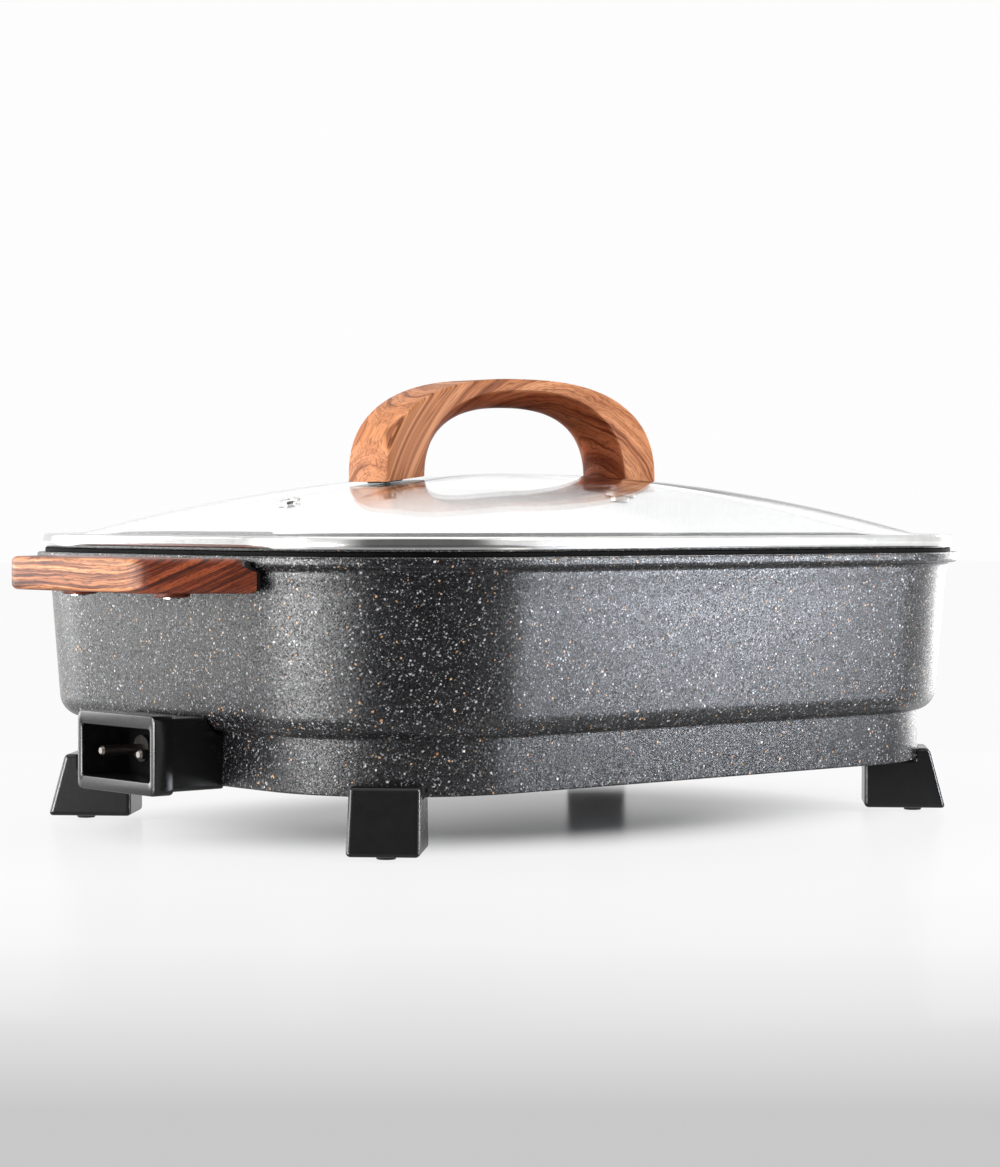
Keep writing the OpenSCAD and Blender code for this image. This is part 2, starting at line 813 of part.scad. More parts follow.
// Children placed on the glass at x on its middle line, square to the dome
module on_dome(x) {
    translate([x, 0, dome_z(x, 0)])
        rotate([0, dome_slope(x), 0])
            children();
}

module lid_glass() {
    color(glass, 0.4)
    difference() {
        dome();
        for (s = [-1, 1])
            on_dome(s * leg_x)
                translate([0, 0, -2 * glass_t])
                    cylinder(r = glass_hole_r, h = 4 * glass_t);
        on_dome(-vent_x)
            translate([0, 0, -2 * glass_t])
                cylinder(r = vent_hole_r, h = 4 * glass_t);
    }
}

// Rolled steel rim: a foot on the pan's lip, a tongue inside it and a fold over the glass
module lid_rim() {
    fold_in = rim_inset + rim_fold;
    tongue_out = rim_inset + tongue_in;
    seat_z = glass_edge_z - glass_clear;
    section = concat(
        arc([rim_inset + rim_foot_r, rim_z + rim_foot_r], rim_foot_r, 270, 180),
        arc([rim_inset + rim_t, rim_top_z - rim_t], rim_t, 180, 90, 3),
        [[fold_in, rim_top_z], [fold_in, rim_top_z - rim_t],
         [rim_inset + rim_t, rim_top_z - rim_t], [rim_inset + rim_t, seat_z],
         [tongue_out + rim_t, seat_z], [tongue_out + rim_t, rim_z - rim_tongue],
         [tongue_out, rim_z - rim_tongue], [tongue_out, rim_z]]);
    color(steel)
        ring(section);
}

module vent_eyelet() {
    color(steel)
    on_dome(-vent_x)
        difference() {
            union() {
                translate([0, 0, glass_clear])
                    cylinder(r = vent_r, h = vent_flange_t);
                translate([0, 0, -glass_t - glass_clear - vent_flange_t])
                    cylinder(r = vent_tube_r, h = glass_t + 2 * glass_clear + 2 * vent_flange_t);
                translate([0, 0, -glass_t - glass_clear - vent_flange_t])
                    cylinder(r = vent_r, h = vent_flange_t);
            }
            translate([0, 0, -3 * glass_t])
                cylinder(r = vent_bore_r, h = 6 * glass_t);
        }
}

// Signed power, for the handle's full round curves
function full_curve(v, power) = sign(v) * pow(abs(v), 2 / power);

// Outward direction at a point of such a curve with half-length a and height b
function curve_normal(p, a, b, power) =
    let (g = [sign(p[0]) * pow(abs(p[0]) / a, power - 1) / a, pow(abs(p[1]) / b, power - 1) / b])
    g / norm(g);

// One section of the lid handle at angle a: a flat back, thin edges and a swelling grip
function arch_section(a) =
    let (back = [arch_l / 2 * full_curve(cos(a), arch_power), arch_h * full_curve(sin(a), arch_power)],
         front = [(arch_l / 2 - leg_l) * full_curve(cos(a), hollow_power),
                  (arch_h - arch_t) * full_curve(sin(a), hollow_power)],
         inwards = -curve_normal(front, arch_l / 2 - leg_l, arch_h - arch_t, hollow_power),
         half = arch_w / 2,
         eased = back - arch_edge * curve_normal(back, arch_l / 2, arch_h, arch_power))
    concat(
        [[eased, -half], [back, -half + arch_edge], [back, half - arch_edge], [eased, half]],
        [for (i = [0 : swell_steps])
            let (y = half - arch_w * i / swell_steps)
            [front + inwards * arch_swell * (1 - pow(y / half, 2)), y]]);

// A point of the handle: its ends follow the glass, and the rest rises from one level
function arch_point(p, end) = [p[0][0], p[1],
    end ? dome_z(p[0][0], p[1]) + leg_gap : arch_base_z + p[0][1]];

module lid_handle() {
    n = swell_steps + 5;
    points = [for (i = [0 : arch_steps], p = arch_section(180 * i / arch_steps))
        arch_point(p, i == 0 || i == arch_steps)];
    sides = [for (i = [0 : arch_steps - 1], j = [0 : n - 1], half = [0, 1])
        let (k = (j + 1) % n, a = i * n, b = (i + 1) * n)
        half == 0 ? [a + j, b + k, a + k] : [a + j, b + j, b + k]];
    first = [for (j = [1 : n - 2]) [0, j, j + 1]];
    final = [for (j = [1 : n - 2]) [arch_steps * n, arch_steps * n + j + 1, arch_steps * n + j]];
    color(wood)
    difference() {
        polyhedron(points, concat(sides, first, final));
        for (s = [-1, 1])
            on_dome(s * leg_x)
                cylinder(r = lid_screw_r + screw_clear, h = lid_screw_l - glass_t - clamp_washer_t + 2 * clear);
    }
}

// Soft washers between the handle's legs and the glass
module lid_handle_washers() {
    color(rubber)
    for (s = [-1, 1])
        on_dome(s * leg_x)
            translate([0, 0, glass_clear])
                difference() {
                    cylinder(r = soft_washer_r, h = leg_gap - glass_clear - washer_gap);
                    translate([0, 0, -overlap])
                        cylinder(r = lid_screw_r + screw_clear, h = leg_gap + 2 * overlap);
                }
}

// Steel washers that the screws clamp up against the glass
module lid_clamp_washers() {
    color(steel)
    for (s = [-1, 1])
        on_dome(s * leg_x)
            translate([0, 0, -glass_t - glass_clear - clamp_washer_t])
                difference() {
                    cylinder(r = clamp_washer_r, h = clamp_washer_t);
                    translate([0, 0, -overlap])
                        cylinder(r = lid_screw_r + screw_clear, h = clamp_washer_t + 2 * overlap);
                }
}

module lid_handle_screws() {
    color(steel)
    for (s = [-1, 1])
        on_dome(s * leg_x)
            translate([0, 0, -glass_t - glass_clear - clamp_washer_t])
                difference() {
                    union() {
                        cylinder(r = lid_screw_r, h = lid_screw_l);
                        translate([0, 0, -lid_head_h])
                            cylinder(r = lid_head_r, h = lid_head_h);
                    }
                    translate([0, 0, -lid_head_h - overlap])
                        cross_recess(lid_head_r);
                }
}

pan_body();
base_skirt();
element_rib();
foot_bosses();
handle_lugs(-1);  // left_handle_lugs
handle_lugs(1);  // right_handle_lugs
heating_element();
terminal_pin(-1);  // terminal_pin_front
terminal_pin(1);  // terminal_pin_rear
terminal_bushes();
terminal_block();
probe_sleeve();
socket_shroud();
socket_screws();
foot(-1, -1);  // foot_front_left
foot(1, -1);  // foot_front_right
foot(-1, 1);  // foot_rear_left
foot(1, 1);  // foot_rear_right
foot_stud(-1, -1);  // foot_stud_front_left
foot_stud(1, -1);  // foot_stud_front_right
foot_stud(-1, 1);  // foot_stud_rear_left
foot_stud(1, 1);  // foot_stud_rear_right
foot_screws();
side_handle(-1);  // left_handle
side_handle(1);  // right_handle
handle_guard(-1);  // left_handle_guard
handle_guard(1);  // right_handle_guard
handle_screws(-1);  // left_handle_screws
handle_screws(1);  // right_handle_screws
lid_glass();
lid_rim();
vent_eyelet();
lid_handle();
lid_handle_washers();
lid_clamp_washers();
lid_handle_screws();
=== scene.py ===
import json
import math

import bmesh
import bpy
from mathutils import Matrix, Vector


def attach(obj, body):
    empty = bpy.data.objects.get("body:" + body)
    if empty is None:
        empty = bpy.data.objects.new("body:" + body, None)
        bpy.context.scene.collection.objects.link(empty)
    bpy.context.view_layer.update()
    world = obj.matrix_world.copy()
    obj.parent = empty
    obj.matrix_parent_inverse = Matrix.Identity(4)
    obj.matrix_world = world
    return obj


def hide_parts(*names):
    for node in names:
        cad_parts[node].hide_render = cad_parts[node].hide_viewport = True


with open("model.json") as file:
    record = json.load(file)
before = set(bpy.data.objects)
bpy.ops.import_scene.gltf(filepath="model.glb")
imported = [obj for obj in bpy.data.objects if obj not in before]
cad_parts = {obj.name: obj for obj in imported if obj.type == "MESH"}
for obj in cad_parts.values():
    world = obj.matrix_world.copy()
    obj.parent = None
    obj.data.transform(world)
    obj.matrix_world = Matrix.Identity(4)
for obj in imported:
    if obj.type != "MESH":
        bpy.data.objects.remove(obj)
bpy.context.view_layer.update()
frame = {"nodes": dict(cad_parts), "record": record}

MM = 0.001

# Sizes are in millimetres, heights count from the floor, insets from the lip's outer edge

# Bowl and skirt
PAN_L, PAN_W, CORNER_R = 400.0, 300.0, 89.0
CX, CY = PAN_L / 2 - CORNER_R, PAN_W / 2 - CORNER_R
LIP_Z, FLOOR_Z, BASE_Z, SKIRT_Z = 122.0, 54.0, 48.0, 25.0
LIP_OUT, WALL_IN, WALL_T = 5.0, 10.0, 3.5
BOTTOM_R, FLOOR_R = 10.0, 14.0
SKIRT_IN, SKIRT_T, SKIRT_FLARE = 19.0, 3.5, 0.9
SKIRT_FILLET, SKIRT_EDGE = 2.0, 0.8
LIP_EDGE, LIP_UNDER_R, LIP_ROOT_R = 0.9, 2.2, 1.7
WALL_TOP_IN = LIP_OUT + 0.1
# Where the wall turns out under the lip: inset and depth below the lip
WALL_TURN = ((6.52, 19.2), (6.27, 16.2), (5.95, 13.2), (5.56, 10.2), (WALL_TOP_IN, 7.2))

# What is cast under the base: each runs half a millimetre into it
SINK = 0.5
MID_Z = 39.1
ELEMENT_X, ELEMENT_Y, BEND_R, TERMINAL_R, PIN_Y = 150.0, 85.0, 30.0, 14.0, 14.0
RIB_HALF, RIB_FLAT, RIB_EDGE = 6.5, 5.525, 1.0
PROBE_PAD_X, PROBE_PAD_HALF = (-150.5, -120.5), 7.5
FOOT_SCREW_AT, BOSS_R = 53.8, 6.0
LUG_X, LUG_HALF, LUG_Z = (190, 221), 9, (110.25, 115.75)

# Lid
RIM_IN, RIM_Z, RIM_TOP, RIM_T = 2.5, 122.75, 130.0, 0.8
CURL_R, SHELF_Z, FLANGE_Z = 4.2, 124.9, 117.2
RIM_STEPS = 32
GLASS_IN, GLASS_T, GLASS_GAP = 3.55, 4.0, 0.15
GLASS_TOP = RIM_TOP - RIM_T - GLASS_GAP
GLASS_HX = PAN_L / 2 - GLASS_IN
DOME_H, DOME_EDGE, DOME_SOFT = 29.0, 0.94, 0.035
VENT_X, VENT_SIDES = -126.0, 40

# Arched lid handle: a full outer curve and a slightly rounder inner one
ARCH_L, ARCH_H, ARCH_W, ARCH_T = 165.0, 46.5, 28.8, 5.0
LEG_L, LEG_GAP, SWELL, ARCH_EDGE = 20.6, 1.2, 8.0, 1.6
OUTER_POWER, INNER_POWER = 2.5, 2.35
LEG_X = (ARCH_L - LEG_L) / 2
INNER_X, INNER_H = ARCH_L / 2 - LEG_L, ARCH_H - ARCH_T
ARCH_STEPS, FACE_STEPS = 96, 14

# Side handles: the inner face is stepped back under the lip
HANDLE_X, HANDLE_TOP, HANDLE_T = 239.5, 121.0, 14.0
HANDLE_Z = HANDLE_TOP - HANDLE_T
HANDLE_R, HANDLE_EDGE = 14.0, 2.4
ROOT_X, HALF_OUT, HALF_ROOT = 194.0, 48.0, 77.5
WALL_X, LIP_X = 198.5, 203.5
STEP_Z, STEP_LOW = 118.0, 115.5
GRIP_SCREW_X, GRIP_SCREW_Y, GRIP_BOSS_SIDES = 212, 34.5, 40

# Feet: distances from the centre of the pan's corner
FOOT_IN, FOOT_OUT, FOOT_TOP = 45.4, 83.2, 75.8
FOOT_Z, FOOT_LIP_Z = 2.0, 30.0
FOOT_HALF, FOOT_TAPER, FOOT_GAP, FOOT_SLICES = 15.1, 0.5, 0.05, 10
SKIRT_R = CORNER_R - SKIRT_IN

# Control socket: bottom and top of its collar
SOCKET_Z, SOCKET_TOP = 22.5, 55.7


def arc(cx, cy, r, a0, a1, n):
    """Points on an arc from a0 to a1 degrees, in n steps."""
    out = []
    for i in range(n + 1):
        a = math.radians(a0 + (a1 - a0) * i / n)
        out.append((cx + r * math.cos(a), cy + r * math.sin(a)))
    return out


def circle(r, n):
    """The n points of a whole circle about the origin."""
    turns = [2 * math.pi * i / n for i in range(n)]
    return [(r * math.cos(a), r * math.sin(a)) for a in turns]


def plan_loop(inset, z, steps=24):
    """The pan's rounded plan, drawn in by inset, as a loop of points at height z."""
    r = CORNER_R - inset
    pts = []
    for q, (sx, sy) in enumerate(((1, 1), (-1, 1), (-1, -1), (1, -1))):
        for i in range(steps + 1):
            a = math.radians(90 * (q + i / steps))
            pts.append((sx * CX + r * math.cos(a), sy * CY + r * math.sin(a), z))
    return pts


class Shape:
    """Collects points in millimetres and faces, and makes one mesh object of them."""

    def __init__(self):
        self.points = []
        self.faces = []

    def loops(self, loops, closed=False, capped=False):
        """Skins a row of loops. Closed joins the last to the first, capped fills both ends."""
        first = len(self.points)
        n = len(loops[0])
        rows = len(loops)
        for loop in loops:
            self.points.extend(loop)
        for i in range(rows if closed else rows - 1):
            a, b = first + i * n, first + ((i + 1) % rows) * n
            for j in range(n):
                k = (j + 1) % n
                self.faces.append((a + j, a + k, b + k, b + j))
        if capped:
            self.faces.append(tuple(first + j for j in range(n))[::-1])
            self.faces.append(tuple(first + (rows - 1) * n + j for j in range(n)))

    def box(self, low, high):
        x0, y0, z0 = low
        x1, y1, z1 = high
        corners = ((x0, y0), (x1, y0), (x1, y1), (x0, y1))
        self.loops([[(x, y, z) for x, y in corners] for z in (z0, z1)], capped=True)

    def post(self, x, y, outline, n=32):
        """A round post at x, y, from its radii and heights."""
        self.loops([[(x + cx, y + cy, z) for cx, cy in circle(r, n)] for r, z in outline], capped=True)

    def make(self, name, body, slot, replaced=(), material=None, sharp=40, bevel=None):
        mesh = bpy.data.meshes.new(name)
        mesh.from_pydata([tuple(c * MM for c in p) for p in self.points], [], self.faces)
        bm = bmesh.new()
        bm.from_mesh(mesh)
        bmesh.ops.recalc_face_normals(bm, faces=bm.faces)
        bm.to_mesh(mesh)
        bm.free()
        mesh.shade_smooth()
        mesh.set_sharp_from_angle(angle=math.radians(sharp))
        obj = bpy.data.objects.new(name, mesh)
        bpy.context.collection.objects.link(obj)
        mesh.materials.append(material or LOOKS[slot])
        if bevel:
            width, segments = bevel
            mod = obj.modifiers.new("edges", "BEVEL")
            mod.width = width * MM
            mod.segments = segments
            mod.limit_method = "ANGLE"
            mod.angle_limit = math.radians(sharp)
            mod.harden_normals = True
        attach(obj, body)
        if replaced:
            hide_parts(*replaced)


# Materials

class Nodes:
    """The node tree of a material or world, with short calls to add and join nodes."""

    def __init__(self, owner):
        owner.use_nodes = True
        self.owner = owner
        self.tree = owner.node_tree
        self.bsdf = self.tree.nodes.get("Principled BSDF")

    def put(self, socket, value):
        """Joins a socket to another node's output, or sets its own value."""
        if isinstance(value, bpy.types.NodeSocket):
            self.tree.links.new(value, socket)
        else:
            socket.default_value = value

    def add(self, kind, **settings):
        node = self.tree.nodes.new(kind)
        for key, value in settings.items():
            setattr(node, key, value)
        return node

    def set(self, node, **values):
        """Fills a node's inputs by name."""
        for key, value in values.items():
            self.put(node.inputs[key.replace("_", " ")], value)
        return node

    def fill(self, node, *values):
        """Fills a node's inputs in their own order."""
        for socket, value in zip(node.inputs, values):
            self.put(socket, value)
        return node.outputs[0]

    def shader(self, **values):
        self.set(self.bsdf, **values)

    def coords(self):
        return self.add("ShaderNodeTexCoord").outputs["Object"]

    def noise(self, vector, scale, detail=3.0, rough=0.5):
        node = self.add("ShaderNodeTexNoise")
        return self.set(node, Vector=vector, Scale=scale, Detail=detail, Roughness=rough).outputs["Fac"]

    def math(self, operation, *values, clamp=False):
        return self.fill(self.add("ShaderNodeMath", operation=operation, use_clamp=clamp), *values)

    def span(self, value, low, high, start=0.0, end=1.0, kind="SMOOTHSTEP"):
        """Carries a value between low and high over to start and end."""
        node = self.add("ShaderNodeMapRange", interpolation_type=kind)
        self.set(node, Value=value, From_Min=low, From_Max=high, To_Min=start, To_Max=end)
        return node.outputs["Result"]

    def ramp(self, factor, *stops):
        node = self.add("ShaderNodeValToRGB")
        while len(node.color_ramp.elements) < len(stops):
            node.color_ramp.elements.new(0.5)
        for element, (place, colour) in zip(node.color_ramp.elements, stops):
            element.position = place
            element.color = (*colour, 1)
        return self.fill(node, factor)

    def mix(self, factor, a, b, blend="MIX"):
        """Mixes two colours."""
        node = self.add("ShaderNodeMix", data_type="RGBA", blend_type=blend)
        for i, value in ((0, factor), (6, a), (7, b)):
            self.put(node.inputs[i], value)
        return node.outputs[2]

    def choose(self, factor, a, b):
        """Mixes two numbers."""
        node = self.add("ShaderNodeMix")
        for i, value in ((0, factor), (2, a), (3, b)):
            self.put(node.inputs[i], value)
        return node.outputs[0]

    def mix_shader(self, factor, a, b):
        return self.fill(self.add("ShaderNodeMixShader"), factor, a, b)

    def glow(self, colour):
        return self.set(self.add("ShaderNodeEmission"), Color=colour, Strength=1.0).outputs[0]

    def split(self, vector):
        node = self.add("ShaderNodeSeparateXYZ")
        self.fill(node, vector)
        return node.outputs

    def join(self, x, y, z):
        return self.fill(self.add("ShaderNodeCombineXYZ"), x, y, z)

    def bump(self, height, strength, distance):
        node = self.set(self.add("ShaderNodeBump"), Height=height, Strength=strength, Distance=distance)
        self.shader(Normal=node.outputs[0])


def grey(level):
    return (level, level, level)


WHITE = grey(1.0)

# Flecks in the coating, from dust to the large pale ones, with the copper ones under these:
# cells per metre, share of cells with a fleck, its size in its cell, darkest and palest colour
FLECKS = (
    (1900.0, 0.60, 0.90, (0.009, 0.0092, 0.0105), (0.062, 0.063, 0.069)),
    (1250.0, 0.62, 0.82, (0.022, 0.0225, 0.025), (0.29, 0.292, 0.306)),
    (800.0, 0.42, 0.66, (0.055, 0.055, 0.060), (0.53, 0.53, 0.545)),
    (660.0, 0.125, 0.58, (0.36, 0.17, 0.07), (0.72, 0.44, 0.23)),
    (480.0, 0.13, 0.45, (0.34, 0.34, 0.35), (0.86, 0.85, 0.84)),
)
FLECK_EDGE = 6.0
# The flecks are bent out of shape a little, and turned so that no row of them follows a wall
FLECK_BEND = (0.0009, -0.0007, 0.0008)
FLECK_TURN = (0.61, 0.47, 0.83)


def stone_material():
    m = Nodes(bpy.data.materials.new("stone_coating"))
    p = m.coords()
    wobble = m.noise(p, 900.0, 2.0)
    offset = m.join(*(m.math("MULTIPLY", wobble, by) for by in FLECK_BEND))
    bent = m.fill(m.add("ShaderNodeVectorMath", operation="ADD"), p, offset)
    turned = m.set(m.add("ShaderNodeMapping"), Vector=bent, Rotation=FLECK_TURN).outputs[0]
    mottle = m.noise(p, 60.0, 4.0)
    colour = m.ramp(mottle, (0.3, (0.004, 0.004, 0.0046)), (0.7, (0.008, 0.0082, 0.0094)))
    for scale, share, size, dark, pale in FLECKS:
        cells = m.add("ShaderNodeTexVoronoi", distance="MANHATTAN")
        m.set(cells, Vector=turned, Scale=scale, Randomness=1.0)
        parts = m.add("ShaderNodeSeparateColor")
        m.fill(parts, cells.outputs["Color"])
        lot, width, tone = parts.outputs
        reach = m.math("SUBTRACT", m.math("MULTIPLY", width, size), cells.outputs["Distance"])
        inside = m.math("MULTIPLY", reach, FLECK_EDGE, clamp=True)
        fleck = m.math("MULTIPLY", m.math("LESS_THAN", lot, share), inside)
        colour = m.mix(fleck, colour, m.ramp(tone, (0.0, dark), (1.0, pale)))
    grain = m.noise(p, 1700.0, 3.0, 0.6)
    facets = m.noise(p, 1150.0, 2.0, 0.6)
    m.shader(Base_Color=colour,
             Roughness=m.ramp(grain, (0.25, grey(0.21)), (0.75, grey(0.32))),
             Specular_IOR_Level=m.ramp(facets, (0.36, grey(0.16)), (0.64, grey(0.90))))
    m.bump(grain, 0.34, 0.0004)
    return m.owner


# Wood grain of the side grips, whose sides carry painted shade, and of the paler arch: how far it wanders,
# how close its bands, lines and pores lie, the colours of the bands, the dark of the lines, and the gloss
GRIP_WOOD = {
    "wander": 0.0045, "bands": 470.0, "lines": 1250.0, "pores": 1700.0,
    "colours": ((0.37, (0.15, 0.050, 0.028)), (0.45, (0.36, 0.130, 0.057)),
                (0.53, (0.58, 0.240, 0.103)), (0.68, (0.74, 0.357, 0.172))),
    "dark": ((0.40, (0.27, 0.215, 0.20)), (0.53, WHITE)),
    "gloss": 0.34,
}
ARCH_WOOD = {
    "wander": 0.012, "bands": 330.0, "lines": 900.0, "pores": 2600.0,
    "colours": ((0.28, (0.205, 0.058, 0.021)), (0.42, (0.415, 0.152, 0.060)),
                (0.56, (0.565, 0.238, 0.105)), (0.74, (0.67, 0.322, 0.160))),
    "dark": ((0.34, (0.36, 0.27, 0.22)), (0.46, WHITE)),
    "gloss": 0.14,
}
# The arch's grain runs in flattened rings about this point under it, in metres
RING_X, RING_Y, RING_Z, RING_FLAT = 0.020, -0.004, 0.118, 2.2
ARCH_FOOT_Z = 0.1539
GRIP_LEAN = 0.55


def grip_grain(m):
    """The grip's grain, leaning across its sides, which are darkened against its end face by painted shade.
    """
    x, y, z = m.split(m.coords())
    reach = m.math("SUBTRACT", HANDLE_X * MM, m.math("ABSOLUTE", x))
    across = m.math("SUBTRACT", z, m.math("MULTIPLY", reach, GRIP_LEAN))
    # Painted shade: the end face keeps its colour and the sides are darkened from about 0.3 to 3.5 mm in from
    # it
    tone = m.ramp(m.math("MULTIPLY", reach, 20.0), (0.006, WHITE), (0.07, (0.44, 0.215, 0.160)))
    return y, across, x, tone


def arch_grain(m):
    """The arch's ringed grain, with painted shade darkening its inner face."""
    x, y, z = m.split(m.coords())
    ring_x = m.math("POWER", m.math("SUBTRACT", x, RING_X), 2.0)
    ring_y = m.math("MULTIPLY", m.math("POWER", m.math("SUBTRACT", y, RING_Y), 2.0), RING_FLAT)
    ring_z = m.math("POWER", m.math("SUBTRACT", z, RING_Z), 2.0)
    across = m.math("SQRT", m.math("ADD", m.math("ADD", ring_x, ring_y), ring_z))
    along = m.math("ADD", x, m.math("MULTIPLY", z, -0.6))
    out = m.math("DIVIDE", m.math("ABSOLUTE", x), INNER_X * MM)
    up = m.math("MAXIMUM", m.math("DIVIDE", m.math("SUBTRACT", z, ARCH_FOOT_Z), INNER_H * MM), 0.0)
    inner = m.math("ADD", m.math("POWER", out, INNER_POWER), m.math("POWER", up, INNER_POWER))
    # Painted shade: the inner face, under the arch, is darkened
    tone = m.ramp(m.math("MULTIPLY", inner, 0.5), (0.488, (0.62, 0.40, 0.36)), (0.525, WHITE))
    return along, across, y, tone


def wood_material(name, wood, grain):
    m = Nodes(bpy.data.materials.new(name))
    along, across, depth, tone = grain(m)

    def streaks(place, run, pitch, through, detail, rough):
        at = m.join(m.math("MULTIPLY", along, run), m.math("MULTIPLY", place, pitch),
                    m.math("MULTIPLY", depth, through))
        return m.noise(at, 1.0, detail, rough)

    wander = m.math("SUBTRACT", streaks(across, 26.0, 45.0, 12.0, 3.0, 0.5), 0.5)
    bent = m.math("ADD", across, m.math("MULTIPLY", wander, wood["wander"]))
    bands = streaks(bent, 11.0, wood["bands"], 9.0, 4.0, 0.58)
    lines = streaks(bent, 16.0, wood["lines"], 30.0, 3.0, 0.6)
    fine = streaks(bent, 70.0, 3200.0, 140.0, 2.0, 0.5)
    pores = streaks(bent, 210.0, wood["pores"], 700.0, 1.0, 0.5)
    dark = m.ramp(lines, *wood["dark"])
    tint = m.ramp(fine, (0.30, (0.60, 0.55, 0.52)), (0.62, WHITE))
    specks = m.ramp(pores, (0.35, (0.38, 0.33, 0.30)), (0.46, WHITE))
    colour = m.ramp(bands, *wood["colours"])
    # The last layer, tone, is painted shade: on the grip's sides and on the arch's inner face
    for share, layer in ((0.85, dark), (0.8, tint), (0.7, specks), (1.0, tone)):
        colour = m.mix(share, colour, layer, "MULTIPLY")
    m.shader(Base_Color=colour,
             Roughness=m.ramp(bands, (0.3, grey(0.50)), (0.7, grey(0.40))),
             Specular_IOR_Level=wood["gloss"])
    m.bump(fine, 0.06, 0.0003)
    return m.owner


def plain_material(name, dark, light, rough, metallic=0.0, bump=0.05, **more):
    """A moulded or metal surface with slow tone changes and a fine grain."""
    m = Nodes(bpy.data.materials.new(name))
    p = m.coords()
    slow = m.noise(p, 180.0, 4.0)
    fine = m.noise(p, 1620.0, 2.0)
    low, high = rough
    m.shader(Base_Color=m.ramp(slow, (0.3, dark), (0.7, light)),
             Roughness=m.ramp(fine, (0.3, grey(low)), (0.7, grey(high))),
             Metallic=metallic, **more)
    m.bump(fine, bump, 0.0002)
    return m.owner


def metal_material(name, dark, light, rough, bump=0.05):
    return plain_material(name, dark, light, rough, metallic=1.0, bump=bump)


def glass_material():
    m = Nodes(bpy.data.materials.new("lid_glass"))
    haze = m.noise(m.coords(), 30.0, 3.0)
    m.shader(Base_Color=(0.992, 0.997, 0.995, 1.0),
             Roughness=m.ramp(haze, (0.3, grey(0.0)), (0.7, grey(0.025))),
             Transmission_Weight=1.0, IOR=1.15)
    return m.owner


LOOKS = {
    "stone_coating": stone_material(),
    "wood_grip": wood_material("wood_grip", GRIP_WOOD, grip_grain),
    "wood_arch": wood_material("wood_arch", ARCH_WOOD, arch_grain),
    "black_moulding": plain_material("black_moulding", grey(0.003), grey(0.005), (0.18, 0.26), bump=0.015),
    "heat_guard": plain_material("heat_guard", grey(0.006), grey(0.011), (0.55, 0.70)),
    "stud_rubber": plain_material("stud_rubber", grey(0.012), grey(0.022), (0.62, 0.78)),
    "ceramic_bush": plain_material("ceramic_bush", (0.012, 0.010, 0.008), (0.022, 0.018, 0.015),
                                   (0.42, 0.55)),
    "rim_steel": metal_material("rim_steel", (0.70, 0.70, 0.69), (0.78, 0.78, 0.77), (0.09, 0.16), 0.01),
    "contact_steel": metal_material("contact_steel", (0.24, 0.215, 0.195), (0.34, 0.31, 0.285), (0.28, 0.40)),
    "screw_steel": metal_material("screw_steel", (0.48, 0.48, 0.47), (0.64, 0.64, 0.63), (0.24, 0.36)),
    "element_sheath": metal_material("element_sheath", (0.22, 0.21, 0.20), (0.38, 0.36, 0.34), (0.38, 0.55)),
    "lid_glass": glass_material(),
}
# Near-black matter of the painted shadow band under the lid's rim
painted_shadow_black = plain_material("painted_shadow_black", grey(0.002), grey(0.005), (0.60, 0.75), Specular_IOR_Level=0.06)

for entry in frame["record"]["subparts"]:
    node = frame["nodes"][entry["node"]]
    node.data.materials.clear()
    node.data.materials.append(LOOKS[entry["material_slot"]])


# Cast pan: one section carried round the plan, from under the base to the cooking surface

pan_section = (
    arc(SKIRT_IN + SKIRT_T + SKIRT_FILLET, BASE_Z - SKIRT_FILLET, SKIRT_FILLET, 90, 180, 4)
    + arc(SKIRT_IN + SKIRT_T - SKIRT_EDGE, SKIRT_Z + SKIRT_EDGE, SKIRT_EDGE, 0, -90, 3)
    + arc(SKIRT_IN - SKIRT_FLARE + SKIRT_EDGE, SKIRT_Z + SKIRT_EDGE, SKIRT_EDGE, 270, 180, 3)
    + [(SKIRT_IN, BASE_Z - 0.6), (SKIRT_IN - 0.15, BASE_Z + 0.1)]
    + arc(WALL_IN + BOTTOM_R, BASE_Z + BOTTOM_R, BOTTOM_R, 262, 183, 14)
    + [(inset, LIP_Z - down) for inset, down in WALL_TURN]
    + arc(WALL_TOP_IN - LIP_ROOT_R, LIP_Z - 6.6, LIP_ROOT_R, 0, 80, 5)
    + arc(LIP_UNDER_R, LIP_Z - 2.6, LIP_UNDER_R, 255, 180, 6)
    + arc(LIP_EDGE, LIP_Z - LIP_EDGE, LIP_EDGE, 180, 90, 4)
    + arc(LIP_OUT + WALL_T - LIP_EDGE, LIP_Z - LIP_EDGE, LIP_EDGE, 90, 0, 4)
    + arc(WALL_IN + WALL_T + FLOOR_R, FLOOR_Z + FLOOR_R, FLOOR_R, 183, 270, 14)
)
pan = Shape()
pan.loops([plan_loop(inset, z) for inset, z in pan_section], capped=True)


def element_route():
    """The rib's centre line, from one contact pin round the base to the other."""
    half = arc(-ELEMENT_X - TERMINAL_R, PIN_Y + TERMINAL_R, TERMINAL_R, 270, 360, 8)
    half += arc(-ELEMENT_X + BEND_R, ELEMENT_Y - BEND_R, BEND_R, 180, 90, 10)
    half += arc(ELEMENT_X - BEND_R, ELEMENT_Y - BEND_R, BEND_R, 90, 0, 10)
    return half + [(ELEMENT_X, 0.0)] + [(x, -y) for x, y in half[::-1]]


